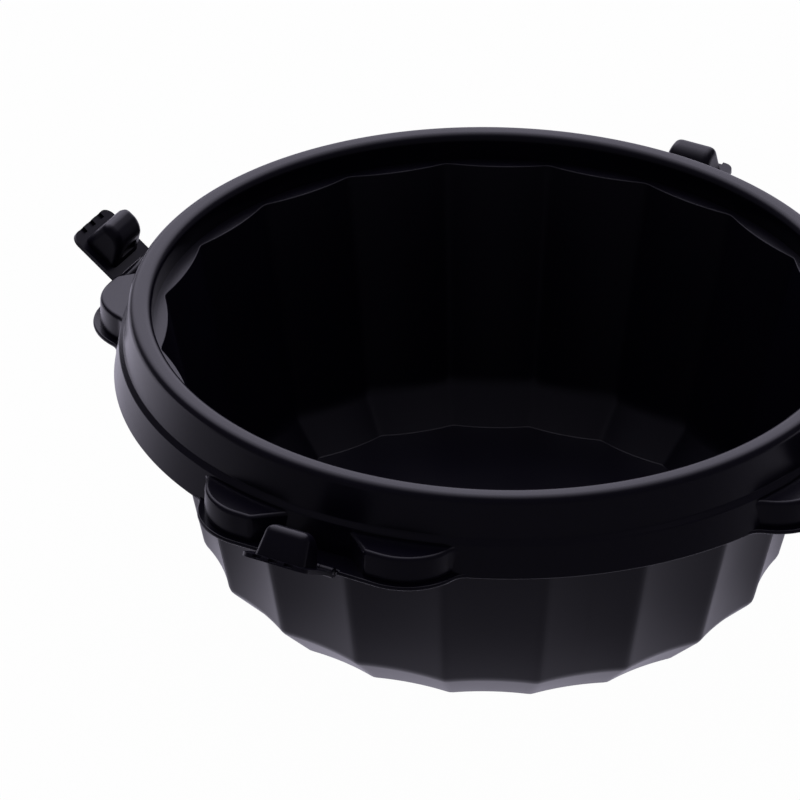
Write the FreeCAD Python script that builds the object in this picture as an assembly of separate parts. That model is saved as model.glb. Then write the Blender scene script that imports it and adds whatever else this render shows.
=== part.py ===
import FreeCAD, Part
import math
import os

# A deep fluted cooking bowl with a latch collar round its rim, in millimetres.
# The base stands on Z = 0, Z is the axis of the bowl, and four latches face -Y, +X, +Y and -X.
# Every latch is drawn open, at the angle where it was left; a stiff hinge holds it there.

# Bowl: crest sizes are measured over the ridges between the flutes
FLUTES = 20
BASE_CREST = 88.9
BEVEL_CREST = 102.7
BEVEL_HEIGHT = 13.5
MOUTH_SETBACK = 4.1
BASE_FLUTE_DEPTH = 2.25
SEAT_FLUTE_DEPTH = 3.05
RIDGE_ROUND = 3.6
BOWL_WALL = 2.4
BOWL_FLANGE_THICKNESS = 2.4
BOWL_FLANGE_GAP = 0.4

# Collar: an inverted channel that stands on the seat of the bowl and hangs down outside it,
# with its levels measured down from the top of the rim
RIM_RADIUS = 125.0
RIM_ROUND = 4.0
RIM_HEIGHT = 106.0
COLLAR_WALL = 2.2
SEAT_DROP = 10.75
STEP_DROP = 16.0
SKIRT_DROP = 29.75
BAND_FLARE = 1.9
STEP_WIDTH = 1.7
STEP_ROUND = 0.8
BRIM_WIDTH = 1.7
BRIM_THICKNESS = 1.6
SNAP_GRIP = 0.6
SNAP_HEIGHT = 0.8
SNAP_GAP = 0.05

# Ears: two hollow blocks beside each latch, open below, whose cheeks slant in to guide the latch
EAR_CHEEK = 21.8
EAR_CHEEK_ROOT = 10.9
EAR_SHOULDER = 27.5
EAR_DEPTH = 8.6
EAR_SWEEP = 20.0
EAR_HEIGHT = 11.4
EAR_WALL = 2.0
EAR_BRIM = 2.5
EAR_CORNER_ROUND = 3.0
EAR_SIDE_BLEND = 6.0
EAR_TOP_ROUND = 1.2

# Hinge: a pin through the collar knuckle and the two latch knuckles beside it,
# with a toe behind each latch knuckle that meets the edge of the brim at the lowest angle
HINGE_OUT = 3.8
KNUCKLE_RADIUS = 1.9
PIN_RADIUS = 0.8
PIN_GAP = 0.02
HINGE_GAP = 0.05
KNUCKLE_SIDE_GAP = 0.2
LATCH_GAP = 0.4
TOE_DROP = 0.4
TOE_THICKNESS = 1.2
TOE_GAP = 0.1
LOWEST_ANGLE = 7.0

# Latch: sizes along the plate run from the hinge axis to the tip
OPEN_ANGLES = {"front": 30.5, "right": 35.5, "back": LOWEST_ANGLE, "left": 35.5}
LATCH_WIDTH = 25.0
LATCH_LENGTH = 23.8
COLLAR_KNUCKLE_WIDTH = 15.0
PLATE_ABOVE_AXIS = 0.4
PLATE_THICKNESS = 1.5
PLATE_ROOT_GAP = 0.4
TIP_CORNER_ROUND = 4.0
HUMP_START = 4.8
HUMP_LENGTH = 15.0
HUMP_WIDTH = 19.0
HUMP_HEIGHT = 11.2
HUMP_DRAFT = 1.4
HUMP_LEAN = 4.5
HUMP_ROUND = 3.0
CATCH_WIDTH = 9.0
CATCH_HEIGHT = 3.6
CATCH_DEPTH = 1.6
CATCH_ABOVE_PLATE = 2.6
CORE_WALL = 2.4
GRIPS = 3
GRIP_PITCH = 6.0
GRIP_WIDTH = 3.2
GRIP_LENGTH = 2.3
GRIP_DEPTH = 1.0

# Worked out from the sizes above
FLUTE_STEP = 2 * math.pi / FLUTES
RIM_CENTRE_HEIGHT = RIM_HEIGHT - RIM_ROUND
SEAT_HEIGHT = RIM_HEIGHT - SEAT_DROP
SEAT_CREST = RIM_RADIUS - MOUTH_SETBACK
STEP_HEIGHT = RIM_HEIGHT - STEP_DROP
BAND_RADIUS = RIM_RADIUS + RIM_ROUND + BAND_FLARE
SKIRT_RADIUS = BAND_RADIUS + STEP_WIDTH
SKIRT_BOTTOM = RIM_HEIGHT - SKIRT_DROP
BRIM_TOP = SKIRT_BOTTOM + BRIM_THICKNESS
EAR_REACH = SKIRT_RADIUS + EAR_DEPTH
EAR_TOP = SKIRT_BOTTOM + EAR_HEIGHT
BOWL_FLANGE_RADIUS = RIM_RADIUS + RIM_ROUND - COLLAR_WALL - BOWL_FLANGE_GAP
BOWL_FLANGE_BOTTOM = SEAT_HEIGHT - BOWL_FLANGE_THICKNESS
HINGE_RADIUS = EAR_REACH + HINGE_OUT
HINGE_HEIGHT = SKIRT_BOTTOM + KNUCKLE_RADIUS
PLATE_UNDERSIDE = PLATE_ABOVE_AXIS - PLATE_THICKNESS
PLATE_ROOT = KNUCKLE_RADIUS + PLATE_ROOT_GAP
COLLAR_MIDDLE_RADIUS = SKIRT_RADIUS - COLLAR_WALL / 2
NOTCH_RADIUS = HINGE_RADIUS - KNUCKLE_RADIUS - LATCH_GAP
STATIONS = {"front": -90.0, "right": 0.0, "back": 90.0, "left": 180.0}

DIAGONAL = math.sqrt(0.5)
SAME_PLACE = 1e-4
FULL_TURN = 360
ORIGIN = FreeCAD.Vector(0, 0, 0)
AXIS = FreeCAD.Vector(0, 0, 1)
ACROSS = FreeCAD.Vector(0, 1, 0)


def point(x, y, z):
    return FreeCAD.Vector(x, y, z)


def polar(radius, angle, height):
    return point(radius * math.cos(angle), radius * math.sin(angle), height)


def line(start, end):
    return Part.LineSegment(start, end).toShape()


def chain(points):
    return [line(start, end) for start, end in zip(points, points[1:])]


def prism(edges, direction):
    return Part.Face(Part.Wire(edges)).extrude(direction)


def box(x_start, x_end, half_width, z_start, z_end):
    corner = point(x_start, -half_width, z_start)
    return Part.makeBox(x_end - x_start, 2 * half_width, z_end - z_start, corner)


def disc(radius, z_start, z_end):
    return Part.makeCylinder(radius, z_end - z_start, point(0, 0, z_start), AXIS)


def rod(radius, half_width):
    return Part.makeCylinder(radius, 2 * half_width, point(0, -half_width, 0), ACROSS)


def fuse_all(shapes):
    return shapes[0].multiFuse(shapes[1:]).removeSplitter()


def cut_all(shape, tools):
    for tool in tools:
        shape = shape.cut(tool)
    return shape


def turned(shape, centre, axis, angle):
    copy = shape.copy()
    copy.rotate(centre, axis, angle)
    return copy


def at_station(shape, azimuth):
    return turned(shape, ORIGIN, AXIS, azimuth)


def mirrored(shape):
    return shape.mirror(ORIGIN, ACROSS)


# One level outline of the bowl: hollow flutes with a rounded ridge between each two
def fluted_wire(height, crest, depth, ridge_round):
    ridge_centre = crest - ridge_round
    flute_floor = crest - depth
    reach = flute_floor - ridge_round
    lean = ridge_centre * math.cos(FLUTE_STEP / 2) - reach
    flute_centre = (ridge_centre ** 2 - reach ** 2) / (2 * lean)
    edges = []
    for flute in range(FLUTES):
        angle = flute * FLUTE_STEP
        ridge = polar(ridge_centre, angle, height)
        next_ridge = polar(ridge_centre, angle + FLUTE_STEP, height)
        before = polar(flute_centre, angle - FLUTE_STEP / 2, height)
        after = polar(flute_centre, angle + FLUTE_STEP / 2, height)
        ridge_start = ridge + (before - ridge).normalize() * ridge_round
        ridge_end = ridge + (after - ridge).normalize() * ridge_round
        flute_end = next_ridge + (after - next_ridge).normalize() * ridge_round
        ridge_top = polar(crest, angle, height)
        flute_middle = polar(flute_floor, angle + FLUTE_STEP / 2, height)
        edges.append(Part.Arc(ridge_start, ridge_top, ridge_end).toShape())
        edges.append(Part.Arc(ridge_end, flute_middle, flute_end).toShape())
    return Part.Wire(edges)


def flute_depth(height):
    share = height / SEAT_HEIGHT
    return BASE_FLUTE_DEPTH + share * (SEAT_FLUTE_DEPTH - BASE_FLUTE_DEPTH)


def fluted_solid(crest_line, ridge_round):
    wires = [fluted_wire(z, crest, flute_depth(z), ridge_round) for crest, z in crest_line]
    return Part.makeLoft(wires, True, True)


# The outer crest line drawn in by the wall, square to the bevel and to the side
def inner_crest_line():
    bevel = math.atan2(BEVEL_HEIGHT, BEVEL_CREST - BASE_CREST)
    side = math.atan2(SEAT_HEIGHT - BEVEL_HEIGHT, SEAT_CREST - BEVEL_CREST)
    mitre = (bevel + side) / 2
    mitre_length = BOWL_WALL / math.cos((side - bevel) / 2)
    bevel_crest = BEVEL_CREST - mitre_length * math.sin(mitre)
    bevel_height = BEVEL_HEIGHT + mitre_length * math.cos(mitre)
    floor_crest = bevel_crest - (bevel_height - BOWL_WALL) / math.tan(bevel)
    seat_crest = bevel_crest + (SEAT_HEIGHT - bevel_height) / math.tan(side)
    return [(floor_crest, BOWL_WALL), (bevel_crest, bevel_height), (seat_crest, SEAT_HEIGHT)]


# Fluted bowl with a flat flange outside its mouth
def bowl():
    crest_line = [(BASE_CREST, 0), (BEVEL_CREST, BEVEL_HEIGHT), (SEAT_CREST, SEAT_HEIGHT)]
    outside = fluted_solid(crest_line, RIDGE_ROUND)
    flange = disc(BOWL_FLANGE_RADIUS, BOWL_FLANGE_BOTTOM, SEAT_HEIGHT)
    inside = fluted_solid(inner_crest_line(), RIDGE_ROUND - BOWL_WALL)
    return fuse_all([outside, flange]).cut(inside)


# Half section of the collar, from the foot of the skirt over the rim to the seat and back
def collar_section():
    centre = RIM_CENTRE_HEIGHT
    outer = RIM_RADIUS + RIM_ROUND
    inner = RIM_RADIUS - RIM_ROUND
    snap_top = BOWL_FLANGE_BOTTOM - SNAP_GAP
    snap_foot = snap_top - SNAP_HEIGHT
    snap_radius = BOWL_FLANGE_RADIUS - SNAP_GRIP
    taper = (BAND_RADIUS - outer) / (centre - STEP_HEIGHT)
    band_inside = BAND_RADIUS - COLLAR_WALL
    snap_root = band_inside - taper * (snap_top - STEP_HEIGHT)
    outside = chain([
        point(SKIRT_RADIUS - COLLAR_WALL, 0, SKIRT_BOTTOM),
        point(SKIRT_RADIUS, 0, SKIRT_BOTTOM),
        point(SKIRT_RADIUS, 0, STEP_HEIGHT - STEP_ROUND)])
    corner = point(SKIRT_RADIUS - STEP_ROUND, 0, STEP_HEIGHT - STEP_ROUND)
    step = Part.Arc(
        outside[-1].Vertexes[-1].Point,
        corner + point(STEP_ROUND * DIAGONAL, 0, STEP_ROUND * DIAGONAL),
        corner + point(0, 0, STEP_ROUND)).toShape()
    band = chain([corner + point(0, 0, STEP_ROUND), point(BAND_RADIUS, 0, STEP_HEIGHT),
                  point(outer, 0, centre)])
    rim_top = Part.Arc(point(outer, 0, centre), point(RIM_RADIUS, 0, RIM_HEIGHT),
                       point(inner, 0, centre)).toShape()
    seat = chain([point(inner, 0, centre), point(inner, 0, SEAT_HEIGHT),
                  point(inner + COLLAR_WALL, 0, SEAT_HEIGHT), point(inner + COLLAR_WALL, 0, centre)])
    rim_inside = Part.Arc(point(inner + COLLAR_WALL, 0, centre),
                          point(RIM_RADIUS, 0, RIM_HEIGHT - COLLAR_WALL),
                          point(outer - COLLAR_WALL, 0, centre)).toShape()
    back = chain([
        point(outer - COLLAR_WALL, 0, centre),
        point(snap_root, 0, snap_top),
        point(snap_radius, 0, snap_top),
        point(snap_radius, 0, snap_foot),
        point(band_inside, 0, STEP_HEIGHT),
        point(SKIRT_RADIUS - COLLAR_WALL, 0, STEP_HEIGHT - COLLAR_WALL),
        point(SKIRT_RADIUS - COLLAR_WALL, 0, SKIRT_BOTTOM)])
    return Part.Face(Part.Wire(outside + [step] + band + [rim_top] + seat + [rim_inside] + back))


# Plan of one ear, grown outward by a margin, from its slanted cheek to its swept far side
def ear_plan(cheek, root, margin, height):
    sweep = EAR_SWEEP + margin
    back = EAR_REACH - EAR_SWEEP
    front = EAR_REACH + margin
    slant = sweep * DIAGONAL
    straight = chain([point(back, EAR_SHOULDER + sweep, height), point(back, root, height),
                      point(COLLAR_MIDDLE_RADIUS, root, height), point(front, cheek, height),
                      point(front, EAR_SHOULDER, height)])
    swept = Part.Arc(point(front, EAR_SHOULDER, height),
                     point(back + slant, EAR_SHOULDER + slant, height),
                     point(back, EAR_SHOULDER + sweep, height)).toShape()
    return straight + [swept]


def ear_prism(cheek, root, margin, z_start, z_end):
    return prism(ear_plan(cheek, root, margin, z_start), AXIS * (z_end - z_start))


def upright_edges(shape, x_start, x_end):
    bounds = [(edge, edge.BoundBox) for edge in shape.Edges]
    return [edge for edge, b in bounds
            if b.XLength + b.YLength < SAME_PLACE and x_start < b.XMin < x_end]


# Level disc of a given radius with the plan of both ears of one station blended into its side
def eared_disc(radius, cheek, root, margin, z_start, z_end):
    ear = ear_prism(cheek, root, margin, z_start, z_end)
    shape = fuse_all([disc(radius, z_start, z_end), ear, mirrored(ear)])
    swept_foot = [edge for edge in upright_edges(shape, 0, radius)
                  if abs(edge.BoundBox.YMin) > EAR_SHOULDER]
    return shape.makeFillet(EAR_SIDE_BLEND, swept_foot)


# The eared part of a disc alone, back to the middle of the wall of the skirt
def one_station(shape, z_start, z_end):
    half = EAR_SHOULDER + EAR_SWEEP + EAR_SIDE_BLEND
    near = box(0, EAR_REACH + EAR_SWEEP, half, z_start, z_end)
    return shape.cut(disc(COLLAR_MIDDLE_RADIUS, z_start, z_end)).common(near)


def ear_block():
    block = eared_disc(SKIRT_RADIUS, EAR_CHEEK, EAR_CHEEK_ROOT, 0, SKIRT_BOTTOM, EAR_TOP)
    corners = [edge for edge in upright_edges(block, SKIRT_RADIUS, EAR_REACH + EAR_WALL)
               if abs(edge.BoundBox.YMin) < EAR_CHEEK + EAR_WALL]
    block = block.makeFillet(EAR_CORNER_ROUND, corners)
    rims = [edge for edge in block.Edges
            if edge.BoundBox.ZMin > EAR_TOP - EAR_WALL and edge.BoundBox.XMax > SKIRT_RADIUS - EAR_SWEEP
            and edge.CenterOfMass.x ** 2 + edge.CenterOfMass.y ** 2 > SKIRT_RADIUS ** 2]
    block = block.makeFillet(EAR_TOP_ROUND, rims)
    return one_station(block, SKIRT_BOTTOM, EAR_TOP)


def brim():
    plate = eared_disc(SKIRT_RADIUS + BRIM_WIDTH, 0, 0, EAR_BRIM, SKIRT_BOTTOM, BRIM_TOP)
    return one_station(plate, SKIRT_BOTTOM, BRIM_TOP)


# The lip that the brim leaves round the foot of the skirt between the stations
def lip():
    outside = disc(SKIRT_RADIUS + BRIM_WIDTH, SKIRT_BOTTOM, BRIM_TOP)
    return outside.cut(disc(COLLAR_MIDDLE_RADIUS, SKIRT_BOTTOM, BRIM_TOP))


# Hollow inside one ear, open below, with the skirt left standing behind it
def ear_pocket():
    hollow = ear_prism(EAR_CHEEK + EAR_WALL, EAR_CHEEK_ROOT + EAR_WALL, -EAR_WALL,
                       SKIRT_BOTTOM, EAR_TOP - EAR_WALL)
    return hollow.cut(disc(SKIRT_RADIUS, SKIRT_BOTTOM, EAR_TOP))


# From the latch's own flat frame to where it stands at the station that faces +X
def raised(shape, angle):
    lifted = turned(shape, ORIGIN, ACROSS, -angle)
    lifted.translate(point(HINGE_RADIUS, 0, HINGE_HEIGHT))
    return lifted


# Collar knuckle with its foot on the brim
def collar_knuckle():
    half = COLLAR_KNUCKLE_WIDTH / 2
    root = NOTCH_RADIUS - BRIM_THICKNESS
    barrel = rod(KNUCKLE_RADIUS, half)
    barrel.translate(point(HINGE_RADIUS, 0, HINGE_HEIGHT))
    foot = box(root, HINGE_RADIUS, half, SKIRT_BOTTOM, SKIRT_BOTTOM + KNUCKLE_RADIUS)
    return fuse_all([barrel, foot])


def rim_collar():
    channel = collar_section().revolve(ORIGIN, AXIS, FULL_TURN)
    knuckle = collar_knuckle()
    pocket = ear_pocket()
    notch = box(NOTCH_RADIUS, HINGE_RADIUS + LATCH_LENGTH, LATCH_WIDTH / 2 + LATCH_GAP,
                SKIRT_BOTTOM, BRIM_TOP)
    bore = rod(PIN_RADIUS + PIN_GAP, COLLAR_KNUCKLE_WIDTH / 2)
    bore.translate(point(HINGE_RADIUS, 0, HINGE_HEIGHT))
    station_parts = [ear_block(), brim()]
    solid = fuse_all([channel, lip()])
    for azimuth in STATIONS.values():
        solid = fuse_all([solid] + [at_station(part, azimuth) for part in station_parts])
        cuts = [pocket, mirrored(pocket), notch]
        solid = cut_all(solid, [at_station(tool, azimuth) for tool in cuts])
        solid = fuse_all([solid, at_station(knuckle, azimuth)])
        solid = solid.cut(at_station(bore, azimuth))
    return solid


# Rounded catch block on the plate, tapered towards its top and leaning away from the rim
def hump():
    end = HUMP_START + HUMP_LENGTH
    half = HUMP_WIDTH / 2
    top_half = half - HUMP_DRAFT

    def level(x_start, x_end, half_width, height):
        corners = [point(x_start, -half_width, height), point(x_end, -half_width, height),
                   point(x_end, half_width, height), point(x_start, half_width, height)]
        return Part.makePolygon(corners + corners[:1])

    foot = level(HUMP_START, end, half, 0)
    head = level(HUMP_START + HUMP_LEAN, end - HUMP_DRAFT, top_half, PLATE_ABOVE_AXIS + HUMP_HEIGHT)
    block = Part.makeLoft([foot, head], True, True)
    rounded = [edge for edge in block.Edges if edge.BoundBox.ZMax > HUMP_HEIGHT / 2]
    return block.makeFillet(HUMP_ROUND, rounded)


# How far the toe reaches behind the hinge axis to meet the notch in the brim at the lowest angle
def toe_reach():
    angle = math.radians(LOWEST_ANGLE)
    gap = HINGE_RADIUS - NOTCH_RADIUS - TOE_GAP
    return (gap + TOE_DROP * math.sin(angle)) / math.cos(angle)


# One latch knuckle with the tongue that carries it and the toe behind it
def latch_knuckle():
    start = COLLAR_KNUCKLE_WIDTH / 2 + KNUCKLE_SIDE_GAP
    width = LATCH_WIDTH / 2 - start
    barrel = Part.makeCylinder(KNUCKLE_RADIUS, width, point(0, start, 0), ACROSS)
    tongue = Part.makeBox(PLATE_ROOT, width, PLATE_THICKNESS, point(0, start, PLATE_UNDERSIDE))
    reach = toe_reach()
    toe = Part.makeBox(reach, width, TOE_THICKNESS, point(-reach, start, -TOE_DROP - TOE_THICKNESS))
    return fuse_all([barrel, tongue, toe])


# Latch in its flat frame: X runs from the hinge axis to the tip, Z points at the rim side
def latch():
    half = LATCH_WIDTH / 2
    top = PLATE_ABOVE_AXIS
    plate = box(PLATE_ROOT, LATCH_LENGTH, half, PLATE_UNDERSIDE, top)
    tip_edges = [edge for edge in plate.Edges
                 if edge.BoundBox.ZLength > PLATE_THICKNESS / 2 and edge.BoundBox.XMin > PLATE_ROOT]
    plate = plate.makeFillet(TIP_CORNER_ROUND, tip_edges)
    knuckle = latch_knuckle()
    solid = fuse_all([plate, knuckle, mirrored(knuckle), hump()])
    catch_foot = top + CATCH_ABOVE_PLATE
    catch_end = HUMP_START + HUMP_LEAN / 2 + CATCH_DEPTH
    catch = box(HUMP_START, catch_end, CATCH_WIDTH / 2, catch_foot, catch_foot + CATCH_HEIGHT)
    core_start = catch_end + CORE_WALL
    core_end = HUMP_START + HUMP_LENGTH - HUMP_DRAFT - CORE_WALL
    core_top = top + HUMP_HEIGHT - CORE_WALL
    core = box(core_start, core_end, HUMP_WIDTH / 2 - HUMP_DRAFT - CORE_WALL, PLATE_UNDERSIDE, core_top)
    grips = []
    for grip in range(GRIPS):
        place = (grip - (GRIPS - 1) / 2) * GRIP_PITCH
        slot = box(LATCH_LENGTH - GRIP_LENGTH, LATCH_LENGTH, GRIP_WIDTH / 2, top - GRIP_DEPTH, top)
        slot.translate(point(0, place, 0))
        grips.append(slot)
    bore = rod(PIN_RADIUS + HINGE_GAP, half)
    return cut_all(solid, [catch, core, bore] + grips)


def hinge_pin():
    pin = rod(PIN_RADIUS, LATCH_WIDTH / 2)
    pin.translate(point(HINGE_RADIUS, 0, HINGE_HEIGHT))
    return pin


def save(name, shape):
    print(name, len(shape.Solids), "solid, valid:", shape.isValid(), round(shape.Volume), "mm3")
    shape.exportStep(os.path.join("parts", name + ".step"))


os.makedirs("parts", exist_ok=True)
save("bowl", bowl())
save("rim_collar", rim_collar())
flat_latch = latch()
pin = hinge_pin()
for station, azimuth in STATIONS.items():
    open_latch = raised(flat_latch, OPEN_ANGLES[station])
    save("latch_" + station, at_station(open_latch, azimuth))
    save("hinge_pin_" + station, at_station(pin, azimuth))
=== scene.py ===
# %% [markdown]
# A deep black cooking bowl with fluted sides and a collar of four clip latches.
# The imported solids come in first, as a fixed frame in metres. Each visible shell is then modelled again
# with soft edges, laid where its solid is, and given a moulded plastic finish.

# %% Load the frame
import math
import bmesh
import bpy
from mathutils import Matrix, Vector


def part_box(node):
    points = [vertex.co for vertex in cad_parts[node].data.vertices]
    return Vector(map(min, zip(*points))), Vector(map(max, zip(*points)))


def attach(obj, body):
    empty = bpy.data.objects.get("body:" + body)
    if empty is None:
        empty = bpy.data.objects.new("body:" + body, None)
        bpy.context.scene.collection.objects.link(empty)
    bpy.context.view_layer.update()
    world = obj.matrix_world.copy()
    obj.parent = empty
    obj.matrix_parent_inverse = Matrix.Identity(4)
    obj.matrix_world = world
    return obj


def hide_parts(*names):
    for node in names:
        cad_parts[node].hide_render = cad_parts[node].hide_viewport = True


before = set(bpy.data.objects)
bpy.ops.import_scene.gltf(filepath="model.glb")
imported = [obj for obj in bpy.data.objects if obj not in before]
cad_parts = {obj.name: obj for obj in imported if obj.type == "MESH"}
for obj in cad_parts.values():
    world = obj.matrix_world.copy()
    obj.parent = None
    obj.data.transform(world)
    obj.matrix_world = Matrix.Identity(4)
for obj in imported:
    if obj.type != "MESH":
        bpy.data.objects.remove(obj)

MM = 0.001
TOUCH = MM / 100
SAME_PLACE = MM / 1000
QUARTER_TURN = math.pi / 2
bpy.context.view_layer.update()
print("solids:", sorted(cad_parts))

# %% [markdown]
# Modelling by hand means going in and out of edit mode and picking parts of the mesh.
# An operator works on all that is selected, so these helpers start from nothing selected,
# and pick vertices, edges or faces by where they are.

# %% Helpers for edit mode
def start_clean():
    if bpy.context.mode != "OBJECT":
        bpy.ops.object.mode_set(mode="OBJECT")
    bpy.ops.object.select_all(action="DESELECT")


def take(piece):
    start_clean()
    bpy.context.view_layer.objects.active = piece
    piece.select_set(True)


def edit(piece):
    take(piece)
    bpy.ops.object.mode_set(mode="EDIT")


def pick(kind, test):
    bpy.ops.mesh.select_mode(type=kind)
    bpy.ops.mesh.select_all(action="DESELECT")
    mesh = bpy.context.edit_object.data
    shape = bmesh.from_edit_mesh(mesh)
    items = {"VERT": shape.verts, "EDGE": shape.edges, "FACE": shape.faces}[kind]
    chosen = [item for item in items if test(item)]
    for item in chosen:
        item.select_set(True)
    shape.select_flush_mode()
    bmesh.update_edit_mesh(mesh)
    return len(chosen)


def middle(edge):
    return (edge.verts[0].co + edge.verts[1].co) / 2


def is_level(edge, height):
    return all(abs(vertex.co.z - height) < TOUCH for vertex in edge.verts)


def reach(place):
    return math.hypot(place.x, place.y)


def move(offset):
    bpy.ops.transform.translate(value=offset)


def extrude(offset):
    bpy.ops.mesh.extrude_region_move(TRANSFORM_OT_translate={"value": offset})


# %% [markdown]
# A piece is finished by modifiers and by its shading. The weighted normals keep a flat face flat up to
# the small rounds on its edges, which would otherwise tint it with a false gradient.
# A piece that repeats is copied with a mesh of its own, turned or mirrored to its place.

# %% Helpers for finishing a piece
def recalculate(piece):
    edit(piece)
    bpy.ops.mesh.select_all(action="SELECT")
    bpy.ops.mesh.remove_doubles(threshold=SAME_PLACE)
    bpy.ops.mesh.normals_make_consistent(inside=False)
    bpy.ops.object.mode_set(mode="OBJECT")


def apply_modifier(piece, kind, **settings):
    take(piece)
    modifier = piece.modifiers.new(kind.lower(), kind)
    for name, value in settings.items():
        setattr(modifier, name, value)
    bpy.ops.object.modifier_apply(modifier=modifier.name)


def add_to(piece, tool):
    apply_modifier(piece, "BOOLEAN", operation="UNION", solver="EXACT", object=tool)
    bpy.data.objects.remove(tool)


def cut_from(piece, tool):
    apply_modifier(piece, "BOOLEAN", operation="DIFFERENCE", solver="EXACT", object=tool)
    bpy.data.objects.remove(tool)


SHARP = math.radians(35)


def smooth(piece):
    take(piece)
    bpy.ops.object.shade_smooth_by_angle(angle=SHARP)


def flatten_shading(piece):
    apply_modifier(piece, "WEIGHTED_NORMAL", mode="FACE_AREA_WITH_ANGLE", keep_sharp=True)


def copy_piece(piece, name, matrix):
    twin = piece.copy()
    twin.data = piece.data.copy()
    twin.name = name
    bpy.context.collection.objects.link(twin)
    twin.data.transform(matrix)
    if matrix.determinant() < 0:
        twin.data.flip_normals()
    return twin


def join(pieces, name):
    take(pieces[0])
    for piece in pieces:
        piece.select_set(True)
    bpy.ops.object.join()
    pieces[0].name = name
    return pieces[0]


# %% [markdown]
# Both round shells are turned, as on a lathe. A section is written with sharp corners and one round for
# each corner, and the rounds are worked out as arcs, so a highlight runs along every edge of the moulding.

# %% Rounded sections
ARC_STEPS = 6


def rounded_section(corners, rounds):
    section = [corners[0]]
    for before, corner, after, size in zip(corners, corners[1:], corners[2:], rounds):
        here = Vector(corner)
        back = (Vector(before) - here).normalized()
        ahead = (Vector(after) - here).normalized()
        half_angle = back.angle(ahead) / 2
        bisector = (back + ahead).normalized()
        centre = here + bisector * size / math.sin(half_angle)
        first = here + back * size / math.tan(half_angle) - centre
        last = here + ahead * size / math.tan(half_angle) - centre
        turn = first.angle_signed(last)
        for step in range(ARC_STEPS + 1):
            spoke = Matrix.Rotation(-turn * step / ARC_STEPS, 2) @ first
            section.append(tuple(centre + spoke))
    section.append(corners[-1])
    return section


# %% [markdown]
# Turning starts from a circle of edges. Each next point of the section is one extrude, up or down,
# and one resize about the axis, with the new ring still selected for the step after it.

# %% Turning a section
def first_ring(name, columns, radius, height):
    start_clean()
    bpy.ops.mesh.primitive_circle_add(vertices=columns, radius=radius, location=(0, 0, height))
    ring = bpy.context.object
    ring.name = name
    bpy.ops.object.transform_apply(location=True, rotation=True, scale=True)
    bpy.ops.object.mode_set(mode="EDIT")
    bpy.ops.mesh.select_all(action="SELECT")
    return ring


def resize_ring(scale):
    bpy.ops.transform.resize(value=(scale, scale, 1), center_override=(0, 0, 0))


def turn_section(section):
    for (radius, height), (next_radius, next_height) in zip(section, section[1:]):
        extrude((0, 0, next_height - height))
        resize_ring(next_radius / radius)


# %% [markdown]
# The side of the bowl has twenty shallow hollows, the flutes, with a rounded ridge between each two.
# Every level of the bowl has the same outline at another size, so one ring is fluted first, by scaling its
# columns of vertices, and all the fluted rings are then extruded from it. The flat flange outside the mouth
# is round, so there the ring is made round again, and fluted once more for the inside.

# %% Fluted outline
FLUTES = 20
COLUMNS_PER_FLUTE = 24
FLUTE_ANGLE = 2 * math.pi / FLUTES
FLUTE_DEPTH_SHARE = 0.0253
RIDGE_ROUND_SHARE = 0.033


def flute_scale(offset):
    ridge_centre = 1 - RIDGE_ROUND_SHARE
    floor = 1 - FLUTE_DEPTH_SHARE
    inner = floor - RIDGE_ROUND_SHARE
    half = FLUTE_ANGLE / 2
    centre = (ridge_centre ** 2 - inner ** 2) / (2 * (ridge_centre * math.cos(half) - inner))
    flute_centre = Vector((centre * math.cos(half), centre * math.sin(half)))
    ridge = Vector((ridge_centre, 0))
    joint = ridge + (flute_centre - ridge).normalized() * RIDGE_ROUND_SHARE
    if offset < math.atan2(joint.y, joint.x):
        across = ridge_centre * math.sin(offset)
        return ridge_centre * math.cos(offset) + math.sqrt(RIDGE_ROUND_SHARE ** 2 - across ** 2)
    across = centre * math.sin(half - offset)
    return centre * math.cos(half - offset) - math.sqrt((centre - floor) ** 2 - across ** 2)


def column_of(place):
    turns = math.atan2(place.y, place.x) / FLUTE_ANGLE
    share = abs(turns - round(turns))
    return round(share * COLUMNS_PER_FLUTE)


def flute_ring(undo=False):
    shape = bmesh.from_edit_mesh(bpy.context.edit_object.data)
    columns = {vertex.index: column_of(vertex.co) for vertex in shape.verts if vertex.select}
    for column in sorted(set(columns.values())):
        scale = flute_scale(column * FLUTE_ANGLE / COLUMNS_PER_FLUTE)
        pick("VERT", lambda vertex: columns.get(vertex.index) == column)
        resize_ring(1 / scale if undo else scale)
    pick("VERT", lambda vertex: vertex.index in columns)
    bpy.ops.mesh.select_mode(type="EDGE")


# %% [markdown]
# The bowl is an even wall all over: a flat floor, a broad bevel that leans out at half a right angle, and
# a steep side. The inside is the outside drawn in square to each wall, so the two corners of the bevel
# move along their mitres.

# %% Section of the bowl
BOWL_WALL = 2.4 * MM
BASE_RADIUS = 88.9 * MM
BEVEL_RADIUS = 102.7 * MM
BEVEL_HEIGHT = 13.5 * MM
SEAT_RADIUS = 120.9 * MM
FLANGE_THICKNESS = 2.4 * MM
bowl_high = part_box("bowl")[1]
SEAT_HEIGHT = bowl_high.z
FLANGE_RADIUS = bowl_high.x
BASE_EDGE_ROUND = 2.0 * MM
BEVEL_EDGE_ROUND = 6.0 * MM
INNER_BEVEL_ROUND = 9.0 * MM
FLOOR_EDGE_ROUND = 1.0 * MM
MOUTH_EDGE_ROUND = 0.5 * MM
FLOOR_FLAT = 70 * MM

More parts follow.
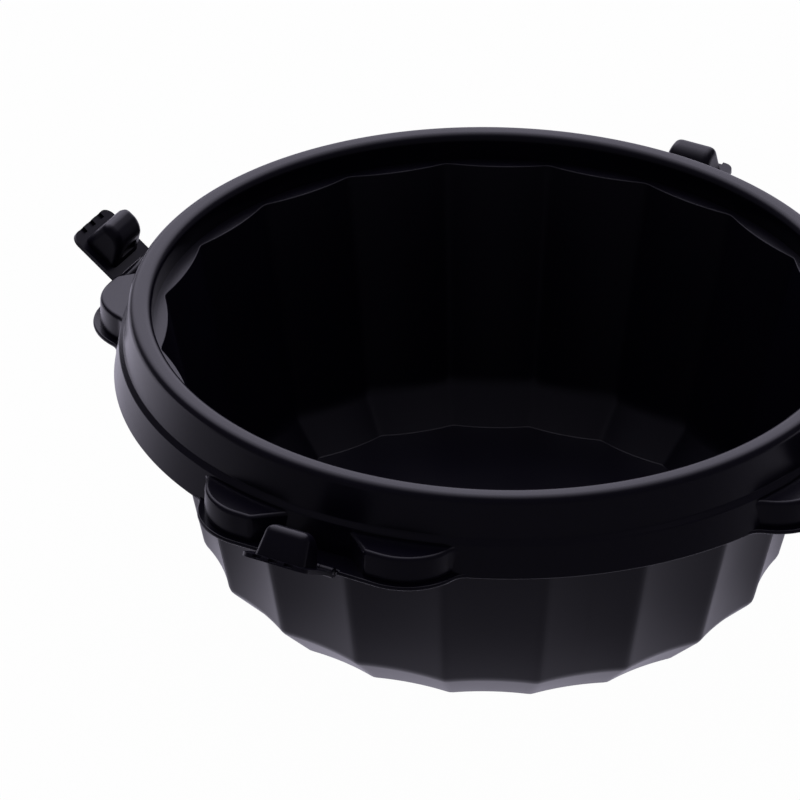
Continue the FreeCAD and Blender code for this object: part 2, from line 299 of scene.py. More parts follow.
side_lean = (SEAT_RADIUS - BEVEL_RADIUS) / (SEAT_HEIGHT - BEVEL_HEIGHT)
flange_foot = SEAT_HEIGHT - FLANGE_THICKNESS
outer_top = BEVEL_RADIUS + side_lean * (flange_foot - BEVEL_HEIGHT)
bevel_slope = math.atan2(BEVEL_HEIGHT, BEVEL_RADIUS - BASE_RADIUS)
side_slope = math.atan2(SEAT_HEIGHT - BEVEL_HEIGHT, SEAT_RADIUS - BEVEL_RADIUS)
mitre = (bevel_slope + side_slope) / 2
mitre_length = BOWL_WALL / math.cos((side_slope - bevel_slope) / 2)
inner_bevel = (BEVEL_RADIUS - mitre_length * math.sin(mitre),
               BEVEL_HEIGHT + mitre_length * math.cos(mitre))
inner_floor = (inner_bevel[0] - (inner_bevel[1] - BOWL_WALL) / math.tan(bevel_slope), BOWL_WALL)
inner_mouth = (inner_bevel[0] + side_lean * (SEAT_HEIGHT - inner_bevel[1]), SEAT_HEIGHT)

outside = rounded_section(
    [(FLOOR_FLAT, 0), (BASE_RADIUS, 0), (BEVEL_RADIUS, BEVEL_HEIGHT), (outer_top, flange_foot)],
    [BASE_EDGE_ROUND, BEVEL_EDGE_ROUND])
inside = rounded_section(
    [(FLANGE_RADIUS - BOWL_WALL, SEAT_HEIGHT), inner_mouth, inner_bevel, inner_floor,
     (FLOOR_FLAT, BOWL_WALL)],
    [MOUTH_EDGE_ROUND, INNER_BEVEL_ROUND, FLOOR_EDGE_ROUND])
print("rings of the bowl:", len(outside), "outside and", len(inside), "inside")

# %% [markdown]
# The shell goes up the outside, round the flange and down the inside in one run of rings. The two round
# holes that are left in the floor, one below and one above, are each closed by one face.

# %% Shell of the bowl
bowl = first_ring("bowl_shell", FLUTES * COLUMNS_PER_FLUTE, *outside[0])
flute_ring()
turn_section(outside)
extrude((0, 0, 0))
flute_ring(undo=True)
resize_ring(FLANGE_RADIUS / outer_top)
turn_section([(FLANGE_RADIUS, flange_foot), (FLANGE_RADIUS, SEAT_HEIGHT)])
extrude((0, 0, 0))
resize_ring(inside[0][0] / FLANGE_RADIUS)
flute_ring()
turn_section(inside)
for height in (0, BOWL_WALL):
    pick("EDGE", lambda edge: edge.is_boundary and is_level(edge, height))
    bpy.ops.mesh.edge_face_add()
recalculate(bowl)
smooth(bowl)
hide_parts("bowl")
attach(bowl, "base")
print("bowl faces:", len(bowl.data.polygons))

# %% [markdown]
# The collar is a channel that caps the mouth of the bowl: a soft flat-topped rim, an upper band that leans
# in, a small sloped shoulder where a lid would stop, and a skirt that flares a little towards its foot.
# The channel is as thick inside as a moulding has to be, so its inside follows the outside.

# %% Collar ring
collar_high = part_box("rim_collar")[1]
RIM_DIP = 0.8 * MM
RIM_TOP = collar_high.z - RIM_DIP
RIM_RADIUS = 125 * MM
RIM_HALF = 4 * MM
RIM_ROUND = 3 * MM
COLLAR_WALL = 2.2 * MM
STEP_HEIGHT = 90 * MM
SHOULDER_RISE = 0.3 * MM
SHOULDER_DROP = 1.3 * MM
BAND_RADIUS = 130.9 * MM
SKIRT_RADIUS = 132.6 * MM
SKIRT_BOTTOM = 76.25 * MM
BRIM_WIDTH = 1.7 * MM
BRIM_THICKNESS = 1.6 * MM
FOOT_ROUND = 0.6 * MM
SHOULDER_ROUND = 1.0 * MM
CHANNEL_ROUND = 1.0 * MM
COLLAR_COLUMNS = 360

lip_radius = SKIRT_RADIUS + BRIM_WIDTH
lip_top = SKIRT_BOTTOM + BRIM_THICKNESS
rim_outside = RIM_RADIUS + RIM_HALF
rim_inside = RIM_RADIUS - RIM_HALF
ledge = STEP_HEIGHT - COLLAR_WALL
outer_wall = rounded_section(
    [(SKIRT_RADIUS - COLLAR_WALL, SKIRT_BOTTOM), (lip_radius, SKIRT_BOTTOM),
     (SKIRT_RADIUS, STEP_HEIGHT - SHOULDER_DROP), (BAND_RADIUS, STEP_HEIGHT + SHOULDER_RISE),
     (rim_outside, RIM_TOP), (rim_inside, RIM_TOP), (rim_inside, SEAT_HEIGHT)],
    [FOOT_ROUND, SHOULDER_ROUND, SHOULDER_ROUND, RIM_ROUND, RIM_ROUND])
channel = rounded_section(
    [(rim_inside + COLLAR_WALL, SEAT_HEIGHT), (rim_inside + COLLAR_WALL, RIM_TOP - COLLAR_WALL),
     (rim_outside - COLLAR_WALL, RIM_TOP - COLLAR_WALL), (BAND_RADIUS - COLLAR_WALL, STEP_HEIGHT)],
    [CHANNEL_ROUND, CHANNEL_ROUND])
collar_section = outer_wall + channel + [(SKIRT_RADIUS - COLLAR_WALL, ledge), outer_wall[0]]

collar_ring = first_ring("collar_ring", COLLAR_COLUMNS, *collar_section[0])
turn_section(collar_section)
recalculate(collar_ring)
print("collar rings:", len(collar_section))

# %% [markdown]
# Two hollow ears stand beside each latch, on a brim that runs round them. The cheeks slant in to guide the
# closing latch. The far side of an ear sweeps back and runs into the skirt in a hollow curve, which is the
# arc that touches both circles. Each plan is a list of corners, seen from above.

# %% Plans for the ears and the brim
EAR_CHEEK = 21.8 * MM
EAR_CHEEK_ROOT = 10.9 * MM
EAR_SHOULDER = 27.5 * MM
EAR_REACH = 141.2 * MM
EAR_SWEEP = 20.0 * MM
EAR_WALL = 2.0 * MM
POCKET_BACK_GAP = 0.5 * MM
EAR_BRIM = 2.5 * MM
EAR_CORNER_ROUND = 3.0 * MM
EAR_SIDE_BLEND = 6.0 * MM
PLAN_STEPS = 14
inside_skirt = SKIRT_RADIUS - COLLAR_WALL / 2
sweep_centre = Vector((EAR_REACH - EAR_SWEEP, EAR_SHOULDER))


def arc(centre, radius, start, end):
    angles = [start + (end - start) * step / PLAN_STEPS for step in range(PLAN_STEPS + 1)]
    return [Vector((centre[0] + radius * math.cos(a), centre[1] + radius * math.sin(a))) for a in angles]


def bearing_of(place):
    return math.atan2(place.y, place.x)


def swept_side(margin, skirt_radius, end):
    radius = EAR_SWEEP + margin
    apart = sweep_centre.length
    far = skirt_radius + EAR_SIDE_BLEND
    near = radius + EAR_SIDE_BLEND
    turn = math.acos((far ** 2 + apart ** 2 - near ** 2) / (2 * far * apart))
    bearing = bearing_of(sweep_centre) + turn
    blend = Vector((far * math.cos(bearing), far * math.sin(bearing)))
    meets = bearing_of(blend - sweep_centre)
    sweep = arc(sweep_centre, radius, 0, meets)
    hollow = arc(blend, EAR_SIDE_BLEND, meets + math.pi, bearing + math.pi)
    inner = arc((0, 0), inside_skirt, bearing, bearing_of(end))
    return sweep + hollow[1:] + inner[:-1]


def ear_plan():
    root = Vector((inside_skirt, EAR_CHEEK_ROOT))
    corners = [tuple(root), (EAR_REACH, EAR_CHEEK), (EAR_REACH, EAR_SHOULDER)]
    cheek = rounded_section(corners, [EAR_CORNER_ROUND])
    return [Vector(place) for place in cheek[:-1]] + swept_side(0, SKIRT_RADIUS, root)


def pocket_plan():
    behind = SKIRT_RADIUS + POCKET_BACK_GAP
    root = Vector((inside_skirt, EAR_CHEEK_ROOT + EAR_WALL))
    front = Vector((EAR_REACH - EAR_WALL, EAR_CHEEK + EAR_WALL))
    heading = front - root
    along = root.dot(heading)
    left_over = along ** 2 - heading.length_squared * (root.length_squared - behind ** 2)
    near = root + heading * (math.sqrt(left_over) - along) / heading.length_squared
    quarter = arc(sweep_centre, EAR_SWEEP - EAR_WALL, 0, QUARTER_TURN)
    sweep = [place for place in quarter if place.length > behind]
    back_wall = arc((0, 0), behind, bearing_of(sweep[-1]), bearing_of(near))
    return [near, front] + sweep + back_wall[1:-1]


def brim_plan(notch_start, notch_half):
    middle_point = Vector((inside_skirt, 0))
    front = EAR_REACH + EAR_BRIM
    side = [Vector((notch_start, 0)), Vector((notch_start, notch_half)), Vector((front, notch_half))]
    return [middle_point] + side + swept_side(EAR_BRIM, lip_radius, middle_point)


# %% [markdown]
# A plan becomes a solid in the plainest way: a small plane is merged to one vertex, the vertex is extruded
# from corner to corner until it is back at the start, the loop is filled, and the face is extruded upwards.

# %% From a plan to a solid
def trace(name, plan, height):
    start_clean()
    bpy.ops.mesh.primitive_plane_add(size=MM)
    piece = bpy.context.object
    piece.name = name
    bpy.ops.object.mode_set(mode="EDIT")
    bpy.ops.mesh.select_mode(type="VERT")
    bpy.ops.mesh.select_all(action="SELECT")
    bpy.ops.mesh.merge(type="CENTER")
    move((plan[0].x, plan[0].y, height))
    for start, end in zip(plan, plan[1:] + plan[:1]):
        step = end - start
        bpy.ops.mesh.extrude_vertices_move(TRANSFORM_OT_translate={"value": (step.x, step.y, 0)})
    bpy.ops.mesh.select_all(action="SELECT")
    bpy.ops.mesh.remove_doubles(threshold=SAME_PLACE)
    bpy.ops.mesh.select_all(action="SELECT")
    bpy.ops.mesh.edge_face_add()
    return piece


def raise_plan(name, plan, low, high):
    piece = trace(name, plan, low)
    extrude((0, 0, high - low))
    recalculate(piece)
    return piece


# %% [markdown]
# The ear is raised on its plan and its top edge is rounded. The brim is joined to it, and the ear is emptied
# from below, because a thick lump of plastic would sink as it cools.

# %% Ear and half brim
EAR_TOP = 87.65 * MM
EAR_TOP_ROUND = 1.5 * MM
EAR_TOP_SEGMENTS = 5
LIP_ROUND = 0.7 * MM
LIP_SEGMENTS = 3
POCKET_OVERSIZE = 1.0 * MM
HINGE_RADIUS = 145.0 * MM
KNUCKLE_RADIUS = 1.9 * MM
LATCH_GAP = 0.4 * MM
LATCH_WIDTH = 25.0 * MM
notch_start = HINGE_RADIUS - KNUCKLE_RADIUS - LATCH_GAP
notch_half = LATCH_WIDTH / 2 + LATCH_GAP
mirror_across = Matrix.Diagonal((1, -1, 1, 1))

ear = raise_plan("ear", ear_plan(), SKIRT_BOTTOM, EAR_TOP)
edit(ear)
pick("EDGE", lambda edge: is_level(edge, EAR_TOP) and reach(middle(edge)) > SKIRT_RADIUS)
bpy.ops.mesh.bevel(offset=EAR_TOP_ROUND, segments=EAR_TOP_SEGMENTS, affect="EDGES")
half_brim = raise_plan("brim", brim_plan(notch_start, notch_half), SKIRT_BOTTOM, lip_top)
edit(half_brim)
pick("EDGE", lambda edge: (is_level(edge, lip_top) or is_level(edge, SKIRT_BOTTOM))
     and reach(middle(edge)) > lip_radius and middle(edge).y > TOUCH)
bpy.ops.mesh.bevel(offset=LIP_ROUND, segments=LIP_SEGMENTS, affect="EDGES")
pocket = raise_plan("pocket", pocket_plan(), SKIRT_BOTTOM - POCKET_OVERSIZE, EAR_TOP - EAR_WALL)
add_to(ear, half_brim)
cut_from(ear, pocket)
other_ear = copy_piece(ear, "other_ear", mirror_across)
print("ear faces:", len(ear.data.polygons))

# %% [markdown]
# The hinges and the latches are put together from blocks and barrels. The seams that joining leaves in flat
# faces are dissolved, so that the rounds that come after run clean along every edge that is left.

# %% Blocks, barrels and soft edges
BARREL_SIDES = 40
TURNED_CORNER = math.radians(40)
FLAT = math.radians(1)


def block(name, low, high):
    low = Vector(low)
    high = Vector(high)
    start_clean()
    bpy.ops.mesh.primitive_cube_add(size=1, location=(low + high) / 2, scale=high - low)
    bpy.ops.object.transform_apply(location=True, rotation=True, scale=True)
    piece = bpy.context.object
    piece.name = name
    return piece


def barrel(name, radius, start, end):
    start_clean()
    bpy.ops.mesh.primitive_cylinder_add(vertices=BARREL_SIDES, radius=radius, depth=end - start,
                                        location=(0, (start + end) / 2, 0), rotation=(QUARTER_TURN, 0, 0))
    bpy.ops.object.transform_apply(location=True, rotation=True, scale=True)
    piece = bpy.context.object
    piece.name = name
    return piece


def clear_seams(piece):
    edit(piece)
    bpy.ops.mesh.select_all(action="SELECT")
    bpy.ops.mesh.dissolve_limited(angle_limit=FLAT)
    start_clean()


def soften(piece, width, segments):
    apply_modifier(piece, "BEVEL", width=width, segments=segments, limit_method="ANGLE",
                   angle_limit=TURNED_CORNER, miter_outer="MITER_ARC")


# %% [markdown]
# The latch turns on a pin through one wide knuckle of the collar. The knuckle is a turned barrel with a
# square foot that grows out of the brim. Both are made at the hinge axis and then moved out to it.

# %% Collar knuckle
HINGE_HEIGHT = SKIRT_BOTTOM + KNUCKLE_RADIUS
COLLAR_KNUCKLE_WIDTH = 15.0 * MM
KNUCKLE_SIDE_GAP = 0.2 * MM
SMALL_EDGE = 0.25 * MM
SMALL_EDGE_SEGMENTS = 2
hinge_place = Vector((HINGE_RADIUS, 0, HINGE_HEIGHT))
collar_knuckle_half = COLLAR_KNUCKLE_WIDTH / 2
foot_start = notch_start - BRIM_THICKNESS - HINGE_RADIUS

lug = barrel("lug", KNUCKLE_RADIUS, -collar_knuckle_half, collar_knuckle_half)
add_to(lug, block("foot", (foot_start, -collar_knuckle_half, -KNUCKLE_RADIUS),
                  (0, collar_knuckle_half, 0)))
recalculate(lug)
clear_seams(lug)
soften(lug, SMALL_EDGE, SMALL_EDGE_SEGMENTS)
take(lug)
move(hinge_place)
bpy.ops.object.transform_apply(location=True, rotation=True, scale=True)
station = join([ear, other_ear, lug], "station")
print("station faces:", len(station.data.polygons))

# %% [markdown]
# The four stations are alike, a quarter turn apart, so one is modelled and copied round the collar.
# The collar is one moulding, so the ring and its stations end as one object.

# %% Whole collar
STATION_TURNS = {"right": 0, "back": 1, "left": 2, "front": 3}
stations = [copy_piece(station, "station_" + name, Matrix.Rotation(turns * QUARTER_TURN, 4, "Z"))
            for name, turns in STATION_TURNS.items()]
bpy.data.objects.remove(station)
collar = join([collar_ring] + stations, "rim_collar_shell")
smooth(collar)
flatten_shading(collar)
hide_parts("rim_collar")
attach(collar, "base")
print("collar faces:", len(collar.data.polygons))

# %% [markdown]
# A latch is a thin plate that a finger pulls by three grooves at its tip. It is modelled flat, with the
# hinge axis along Y through the origin. Two knuckles, one at each side, straddle the knuckle of the collar,
# and a toe behind each one ends the swing against the edge of the brim. The pin hole goes right through.

# %% Latch plate
LATCH_LENGTH = 23.8 * MM
PLATE_ABOVE_AXIS = 0.4 * MM
PLATE_UNDERSIDE = -1.1 * MM
PLATE_GAP = 0.06 * MM
PLATE_ROOT = KNUCKLE_RADIUS + PLATE_GAP
TIP_CORNER_ROUND = 4.0 * MM
TIP_CORNER_SEGMENTS = 8
TOE_REACH = 2.26 * MM
TOE_TOP = -0.4 * MM
TOE_FOOT = -1.6 * MM
PIN_HOLE = 0.85 * MM
OVERSIZE = 2.0 * MM
half_width = LATCH_WIDTH / 2
latch_knuckle_start = collar_knuckle_half + KNUCKLE_SIDE_GAP

plate = block("plate", (PLATE_ROOT, -half_width, PLATE_UNDERSIDE),
              (LATCH_LENGTH, half_width, PLATE_ABOVE_AXIS))
edit(plate)
pick("EDGE", lambda edge: middle(edge).x > LATCH_LENGTH - TOUCH
     and abs(middle(edge).y) > half_width - TOUCH)
bpy.ops.mesh.bevel(offset=TIP_CORNER_ROUND, segments=TIP_CORNER_SEGMENTS, affect="EDGES")
start_clean()

knuckle = barrel("knuckle", KNUCKLE_RADIUS, latch_knuckle_start, half_width)
add_to(knuckle, block("tongue", (0, latch_knuckle_start, PLATE_UNDERSIDE),
                      (PLATE_ROOT + OVERSIZE, half_width, PLATE_ABOVE_AXIS)))
add_to(knuckle, block("toe", (-TOE_REACH, latch_knuckle_start, TOE_FOOT), (0, half_width, TOE_TOP)))
other_knuckle = copy_piece(knuckle, "other_knuckle", mirror_across)
add_to(plate, knuckle)
add_to(plate, other_knuckle)
cut_from(plate, barrel("pin_hole", PIN_HOLE, -half_width - OVERSIZE, half_width + OVERSIZE))
clear_seams(plate)
print("plate faces:", len(plate.data.polygons))

# %% [markdown]
# The grooves are cut blind into the upper side of the tip, so that a finger nail finds an edge. Then every
# edge of the plate is softened at once, by its angle.

# %% Finger grooves
GRIPS = 3
GRIP_PITCH = 6.0 * MM
GRIP_WIDTH = 3.2 * MM
GRIP_LENGTH = 2.3 * MM
GRIP_DEPTH = 1.0 * MM
PLATE_EDGE = 0.35 * MM
PLATE_EDGE_SEGMENTS = 3

for grip in range(GRIPS):
    side = (grip - (GRIPS - 1) / 2) * GRIP_PITCH
    low = (LATCH_LENGTH - GRIP_LENGTH, side - GRIP_WIDTH / 2, PLATE_ABOVE_AXIS - GRIP_DEPTH)
    high = (LATCH_LENGTH + OVERSIZE, side + GRIP_WIDTH / 2, PLATE_ABOVE_AXIS + OVERSIZE)
    cut_from(plate, block("groove", low, high))
soften(plate, PLATE_EDGE, PLATE_EDGE_SEGMENTS)
print("plate faces with grooves:", len(plate.data.polygons))

# %% [markdown]
# The catch block is a drafted lump that leans away from the rim, so its back edge is rounded most.
# It starts as a cube whose top is moved inwards edge by edge, and then the edges are bevelled in two sizes.

# %% Catch block
HUMP_START = 4.8 * MM
HUMP_LENGTH = 15.0 * MM
HUMP_WIDTH = 19.0 * MM
HUMP_HEIGHT = 11.2 * MM
HUMP_DRAFT = 1.4 * MM
HUMP_LEAN = 4.5 * MM
HUMP_ROUND = 2.8 * MM
HUMP_SEGMENTS = 6
HUMP_BACK_ROUND = 4.5 * MM
HUMP_BACK_SEGMENTS = 10
HUMP_SQUARE_FOOT = 1.0 * MM
BLOCK_CORNER = math.radians(25)
hump_end = HUMP_START + HUMP_LENGTH
hump_middle = HUMP_START + HUMP_LENGTH / 2
hump_top = PLATE_ABOVE_AXIS + HUMP_HEIGHT
hump_half = HUMP_WIDTH / 2


def is_top(place):
    return place.z > hump_top - TOUCH


hump = block("hump", (HUMP_START, -hump_half, 0), (hump_end, hump_half, hump_top))
edit(hump)
pick("VERT", lambda vertex: is_top(vertex.co) and vertex.co.x < hump_middle)
move((HUMP_LEAN, 0, 0))
pick("VERT", lambda vertex: is_top(vertex.co) and vertex.co.x > hump_end - TOUCH)
move((-HUMP_DRAFT, 0, 0))
for side in (-1, 1):
    pick("VERT", lambda vertex: is_top(vertex.co) and vertex.co.y * side > 0)
    move((0, -side * HUMP_DRAFT, 0))
pick("EDGE", lambda edge: is_top(middle(edge)) and middle(edge).x < HUMP_START + HUMP_LEAN + TOUCH)
bpy.ops.mesh.bevel(offset=HUMP_BACK_ROUND, segments=HUMP_BACK_SEGMENTS, affect="EDGES")
pick("EDGE", lambda edge: middle(edge).z > HUMP_SQUARE_FOOT and edge.calc_face_angle() > BLOCK_CORNER)
bpy.ops.mesh.bevel(offset=HUMP_ROUND, segments=HUMP_SEGMENTS, affect="EDGES")
start_clean()
print("catch block faces:", len(hump.data.polygons))

# %% [markdown]
# The rim side of the block has a shallow pocket, which snaps over the edge of a lid. From below the block is
# cored out to an even wall, for the same reason as the ears.

# %% Catch pocket and core
CATCH_WIDTH = 9.0 * MM
CATCH_HEIGHT = 3.6 * MM
CATCH_DEPTH = 0.5 * MM
CATCH_ABOVE_PLATE = 2.6 * MM
CORE_WALL = 2.4 * MM
CORE_START = 11.05 * MM
catch_foot = PLATE_ABOVE_AXIS + CATCH_ABOVE_PLATE
catch_end = HUMP_START + HUMP_LEAN / 2 + CATCH_DEPTH
core_half = hump_half - HUMP_DRAFT - CORE_WALL

cut_from(hump, block("catch", (HUMP_START - OVERSIZE, -CATCH_WIDTH / 2, catch_foot),
                     (catch_end, CATCH_WIDTH / 2, catch_foot + CATCH_HEIGHT)))
add_to(plate, hump)
cut_from(plate, block("core", (CORE_START, -core_half, PLATE_UNDERSIDE - OVERSIZE),
                      (hump_end - HUMP_DRAFT - CORE_WALL, core_half, hump_top - CORE_WALL)))
recalculate(plate)
print("latch faces:", len(plate.data.polygons))

# %% [markdown]
# A stiff hinge leaves a latch wherever it was last pushed. In the photograph the back one has dropped to
# its stop, and the others stand higher, so each copy is raised by its own angle.

# %% Four latches
OPEN_ANGLES = {"front": 30.5, "right": 35.5, "back": 7.0, "left": 35.5}
latches = []
for name, turns in STATION_TURNS.items():
    lift = Matrix.Rotation(-math.radians(OPEN_ANGLES[name]), 4, "Y")
    place = Matrix.Rotation(turns * QUARTER_TURN, 4, "Z") @ Matrix.Translation(hinge_place) @ lift
    latch = copy_piece(plate, "latch_" + name + "_clip", place)
    smooth(latch)
    flatten_shading(latch)
    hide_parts("latch_" + name)
    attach(latch, "latch_" + name)
    latches.append(latch)
bpy.data.objects.remove(plate)
print("latches:", [latch.name for latch in latches])

# %% [markdown]
# What changes over a surface is worked out as sums and products. The small class below wraps one output
# of a node, so that Python's own operators add the Math nodes to its finish.

# %% Node outputs
class Output:
    def __init__(self, finish, socket):
        self.finish = finish
        self.socket = socket

    def maths(self, operation, first, second):
        return self.finish.node("ShaderNodeMath", {"operation": operation}, {0: first, 1: second})

    def __add__(self, other):
        return self.maths("ADD", self, other)

    def __radd__(self, other):
        return self.maths("ADD", other, self)

    def __sub__(self, other):
        return self.maths("SUBTRACT", self, other)

    def __rsub__(self, other):
        return self.maths("SUBTRACT", other, self)

    def __mul__(self, other):
        return self.maths("MULTIPLY", self, other)

    def __rmul__(self, other):
        return self.maths("MULTIPLY", other, self)


# %% [markdown]
# A finish is the node tree of one material, or of the world. One method adds any node, and the rest are
# short ways to write what comes up often, such as whether the camera sees a surface directly.

# %% Finishes
class Finish:
    def __init__(self, owner):
        owner.use_nodes = True
        self.tree = owner.node_tree
        self.tree.nodes.clear()

    def node(self, kind, settings, inputs, output=0):
        made = self.tree.nodes.new(kind)
        for name, value in settings.items():
            setattr(made, name, value)
        for name, value in inputs.items():
            if isinstance(value, Output):
                self.tree.links.new(value.socket, made.inputs[name])
            else:
                made.inputs[name].default_value = value
        return Output(self, made.outputs[output]) if made.outputs else None

    def noise(self, scale, detail):
        place = self.node("ShaderNodeTexCoord", {}, {}, "Object")
        return self.node("ShaderNodeTexNoise", {}, {"Vector": place, "Scale": scale, "Detail": detail})

    def seen(self):
        camera_ray = self.node("ShaderNodeLightPath", {}, {}, "Is Camera Ray")
        clear_ray = self.node("ShaderNodeLightPath", {}, {}, "Is Transmission Ray")
        return camera_ray + clear_ray

    def rise(self, value, start, end):
        return self.node("ShaderNodeMapRange", {"interpolation_type": "SMOOTHSTEP"},
                         {"Value": value, "From Min": start, "From Max": end})

    def along(self, vector, axis):
        return self.node("ShaderNodeVectorMath", {"operation": "DOT_PRODUCT"},
                         {0: vector, 1: tuple(axis)}, "Value")


def wear(piece, material):
    piece.data.materials.clear()
    piece.data.materials.append(material)


# %% [markdown]
# The plastic is one black satin moulding compound. Its surface has the fine grain of a sparked mould,
# broad patches that are a little smoother where hands and cloths have been, and a faint cloudiness in
# its colour. Black plastic reflects little when seen square on and much more along its edges, which the
# shader does by itself, so only colour, roughness and grain are worked out here.

# %% Moulded plastic
PLASTIC_IOR = 1.40
BLACK = (0.0028, 0.0020, 0.0070, 1)
SOFT_BLACK = (0.0050, 0.0038, 0.0112, 1)
GRAIN_HEIGHT = 0.06 * MM
GRAIN_STRENGTH = 0.25
GRAIN_SCALE = 1600
GRAIN_DETAIL = 2
CLOUD_SHARE = 0.10
CLOUD_SCALE = 14
CLOUD_DETAIL = 3
WIPED_SHARE = 0.06
WIPED_SCALE = 45
WIPED_DETAIL = 2
NOISE_MEAN = 0.5
BOWL_ROUGHNESS = 0.33
COLLAR_ROUGHNESS = 0.25
LATCH_ROUGHNESS = 0.32


def moulded_plastic(name, roughness):
    material = bpy.data.materials.new(name)
    finish = Finish(material)
    grain = finish.noise(GRAIN_SCALE, GRAIN_DETAIL)
    cloud = finish.noise(CLOUD_SCALE, CLOUD_DETAIL)
    wiped = finish.noise(WIPED_SCALE, WIPED_DETAIL)
    colour = finish.node("ShaderNodeMix", {"data_type": "RGBA"},
                         {"Factor": cloud, "A": BLACK, "B": SOFT_BLACK}, "Result")
    satin = roughness + CLOUD_SHARE * (cloud - NOISE_MEAN) + WIPED_SHARE * (wiped - NOISE_MEAN)
    relief = finish.node("ShaderNodeBump", {},
                         {"Strength": GRAIN_STRENGTH, "Distance": GRAIN_HEIGHT, "Height": grain})
    surface = finish.node("ShaderNodeBsdfPrincipled", {}, {
        "Base Color": colour, "Roughness": satin, "Normal": relief, "IOR": PLASTIC_IOR})
    finish.node("ShaderNodeOutputMaterial", {}, {"Surface": surface})
    return material


wear(bowl, moulded_plastic("bowl_plastic", BOWL_ROUGHNESS))
wear(collar, moulded_plastic("collar_plastic", COLLAR_ROUGHNESS))
latch_finish = moulded_plastic("latch_plastic", LATCH_ROUGHNESS)
for latch in latches:
    wear(latch, latch_finish)
print("plastics:", [piece.data.materials[0].name for piece in (bowl, collar, latches[0])])

# %% [markdown]
# The four pins are short lengths of drawn wire, kept as the solids they are. Drawing leaves fine marks
# on the wire, so its colour and roughness vary over them.

# %% Pin wire
WIRE_DARK = (0.30, 0.30, 0.31, 1)
WIRE_LIGHT = (0.48, 0.48, 0.49, 1)
MARK_SCALE = 2500
MARK_DETAIL = 2
WIRE_ROUGHNESS = 0.25
MARK_ROUGHNESS = 0.2


def drawn_wire(name):
    material = bpy.data.materials.new(name)
    finish = Finish(material)
    marks = finish.noise(MARK_SCALE, MARK_DETAIL)
    colour = finish.node("ShaderNodeMix", {"data_type": "RGBA"},
                         {"Factor": marks, "A": WIRE_DARK, "B": WIRE_LIGHT}, "Result")
    surface = finish.node("ShaderNodeBsdfPrincipled", {}, {
        "Base Color": colour, "Roughness": WIRE_ROUGHNESS + MARK_ROUGHNESS * marks, "Metallic": 1.0})
    finish.node("ShaderNodeOutputMaterial", {}, {"Surface": surface})
    return material


wire = drawn_wire("pin_wire")
for name in STATION_TURNS:
    wear(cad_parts["hinge_pin_" + name], wire)
print("pins in wire:", len(STATION_TURNS))

# %% [markdown]
# The bowl stands on a white sweep, which lies a hair below the base so that the two don't flicker.
# The light of the studio, and the painted shade on the sweep, follow the direction that the camera looks in.

# %% Floor
VIEW_AZIMUTH = math.radians(27)
FLOOR_SIZE = 12.0
FLOOR_DROP = 0.2 * MM
toward_camera = Vector((math.sin(VIEW_AZIMUTH), -math.cos(VIEW_AZIMUTH), 0))
across_view = Vector((math.cos(VIEW_AZIMUTH), math.sin(VIEW_AZIMUTH), 0))

start_clean()
bpy.ops.mesh.primitive_plane_add(size=FLOOR_SIZE, location=(0, 0, -FLOOR_DROP))
bpy.ops.object.transform_apply(location=True, rotation=True, scale=True)
floor = bpy.context.object
floor.name = "floor"
print("floor:", FLOOR_SIZE, "m wide")

# %% [markdown]
# The camera sees the sweep as a white page. In the gloss of the plastic the sweep shows a painted
# reflection. It glows though it is no lamp, and it is dimmer there. Painted shade fades it towards the
# camera, to match the dark front of the studio.
# A painted glow lies behind the bowl, and a painted pool of light lies close under the bowl, which is what
# lights the bevel.
# It is clear when seen from underneath.

# %% Floor finish
# Where the painted shade, the painted glow behind and the painted pool of light lie on the sweep, and how
# bright the painted reflection is.
FADE_START = 0.06
FADE_END = 0.24
BACK_START = -0.12
BACK_END = 0.05
PAINTED_POOL_INSIDE = 0.095
PAINTED_POOL_OUTSIDE = 0.130
BACK_GLOW = 0.95
FLOOR_GLOW = 0.34
FLOOR_DARK = 0.11
PAINTED_POOL_GLOW = 0.60
SEEN_WHITE = 0.985
PAPER = (0.80, 0.79, 0.82, 1)
STUDIO_TINT = (0.86, 0.82, 1.0, 1)
PAGE = (1, 1, 1, 1)

floor_material = bpy.data.materials.new("white_sweep")
paper = Finish(floor_material)
gloss_ray = paper.node("ShaderNodeLightPath", {}, {}, "Is Glossy Ray")
spot = paper.node("ShaderNodeTexCoord", {}, {}, "Object")
in_front = paper.along(spot, toward_camera)
# painted shade: the glow of the sweep in gloss darkens towards the camera
shade = paper.rise(in_front, FADE_START, FADE_END)
# painted glow: the sweep is brighter in gloss behind the bowl
back = 1 - paper.rise(in_front, BACK_START, BACK_END)
from_axis = paper.node("ShaderNodeVectorMath", {"operation": "LENGTH"}, {0: spot}, "Value")
# painted pool of light on the sweep, close under the bowl
painted_pool = 1 - paper.rise(from_axis, PAINTED_POOL_INSIDE, PAINTED_POOL_OUTSIDE)
level = FLOOR_GLOW * (1 - shade) + FLOOR_DARK * shade
level = level + (BACK_GLOW - FLOOR_GLOW) * back + PAINTED_POOL_GLOW * painted_pool
matte = paper.node("ShaderNodeBsdfDiffuse", {}, {"Color": PAPER})
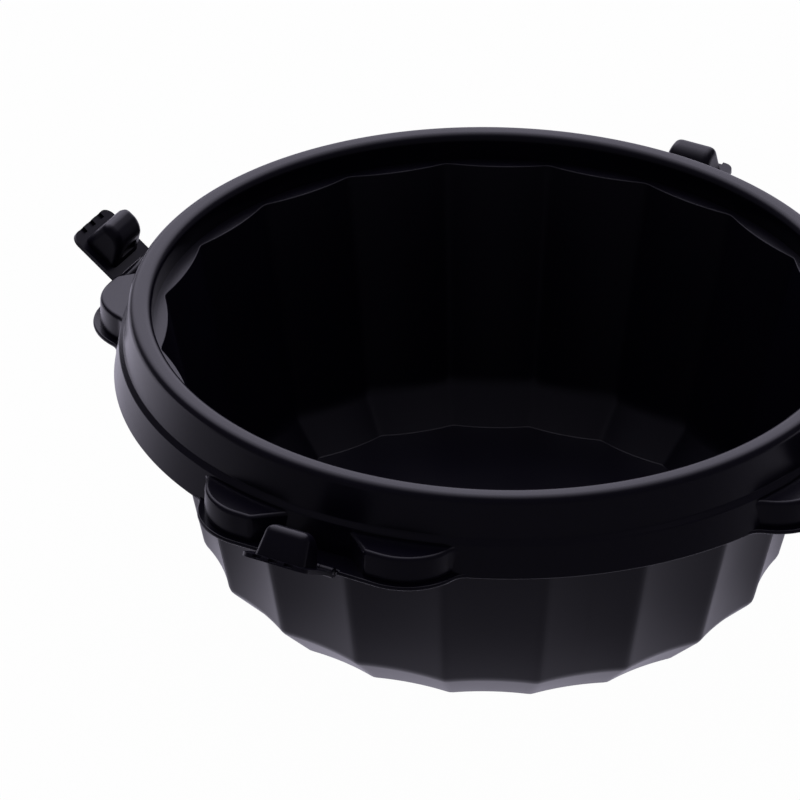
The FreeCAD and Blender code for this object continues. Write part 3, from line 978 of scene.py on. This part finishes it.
# painted reflection: the sweep glows, in the tint of the studio, for glossy rays only, though it is no lamp
painted_reflection = paper.node("ShaderNodeEmission", {}, {"Color": STUDIO_TINT, "Strength": level})
page = paper.node("ShaderNodeEmission", {}, {"Color": PAGE, "Strength": 1.0})
lit = paper.node("ShaderNodeMixShader", {}, {0: gloss_ray, 1: matte, 2: painted_reflection})
shown = paper.node("ShaderNodeMixShader", {}, {0: SEEN_WHITE * paper.seen(), 1: lit, 2: page})
underneath = paper.node("ShaderNodeNewGeometry", {}, {}, "Backfacing")
clear = paper.node("ShaderNodeBsdfTransparent", {}, {})
one_sided = paper.node("ShaderNodeMixShader", {}, {0: underneath, 1: shown, 2: clear})
paper.node("ShaderNodeOutputMaterial", {}, {"Surface": one_sided})
wear(floor, floor_material)
print("floor finish:", floor_material.name)

# %% [markdown]
# One broad panel of light hangs behind and above the bowl. It is drawn in the world as a soft patch that
# starts a little above the horizon, goes up past the zenith, and ends at both sides. The rest of the studio
# is nearly dark, which is why the front of a black object stays black.

# %% Studio light
PANEL = 1.6
FILL = 0.09
PANEL_FOOT = (-0.05, 0.40)
PANEL_FRONT = (-0.40, 0.70)
PANEL_SIDES = (0.05, 0.50)
UP = Vector((0, 0, 1))

world = bpy.data.worlds.new("studio")
bpy.context.scene.world = world
studio = Finish(world)
direction = studio.node("ShaderNodeTexCoord", {}, {}, "Generated")
above = studio.rise(studio.along(direction, UP), *PANEL_FOOT)
behind = studio.rise(studio.along(direction, -toward_camera), *PANEL_FRONT)
sideways = studio.along(direction, across_view)
between = 1 - studio.rise(sideways * sideways, *PANEL_SIDES)
strength = FILL + PANEL * above * behind * between
room = studio.node("ShaderNodeBackground", {}, {"Color": STUDIO_TINT, "Strength": strength})
page = studio.node("ShaderNodeBackground", {}, {"Color": PAGE, "Strength": 1.0})
both = studio.node("ShaderNodeMixShader", {}, {0: studio.seen(), 1: room, 2: page})
studio.node("ShaderNodeOutputWorld", {}, {"Surface": both})
print("studio panel strength:", PANEL)

# %% [markdown]
# The camera stands where the photograph was taken from: 31 degrees above the rim, with a long lens, turned
# a little, and aimed so that the right-hand latch falls outside the picture.

# %% Camera
VIEW_ELEVATION = math.radians(31.14)
VIEW_ROLL = math.radians(1.225)
LENS = 357.7
SENSOR = 36
DISTANCE = 2.782
LOOK_AT = Vector((-0.0229, -0.0304, 0.0751))
FRAME_SHIFT = (0.0025, 0.0006)
NEAR_CLIP = 0.1
FAR_CLIP = 50
away = toward_camera * math.cos(VIEW_ELEVATION) + UP * math.sin(VIEW_ELEVATION)
upward = away.cross(across_view)
tilted_right = across_view * math.cos(VIEW_ROLL) + upward * math.sin(VIEW_ROLL)
tilted_up = upward * math.cos(VIEW_ROLL) - across_view * math.sin(VIEW_ROLL)
lens = bpy.data.cameras.new("camera")
lens.lens = LENS
lens.sensor_width = SENSOR
lens.shift_x, lens.shift_y = FRAME_SHIFT
lens.clip_start, lens.clip_end = NEAR_CLIP, FAR_CLIP
camera = bpy.data.objects.new("camera", lens)
bpy.context.collection.objects.link(camera)
turned = Matrix((tilted_right, tilted_up, away)).transposed().to_4x4()
camera.matrix_world = Matrix.Translation(LOOK_AT + away * DISTANCE) @ turned
bpy.context.scene.camera = camera
bpy.context.scene.view_settings.view_transform = "Standard"
print("camera at", [round(c, 3) for c in camera.matrix_world.translation])

# %% [markdown]
# At the end the scene is left in object mode, with nothing selected.

# %% Finish
start_clean()
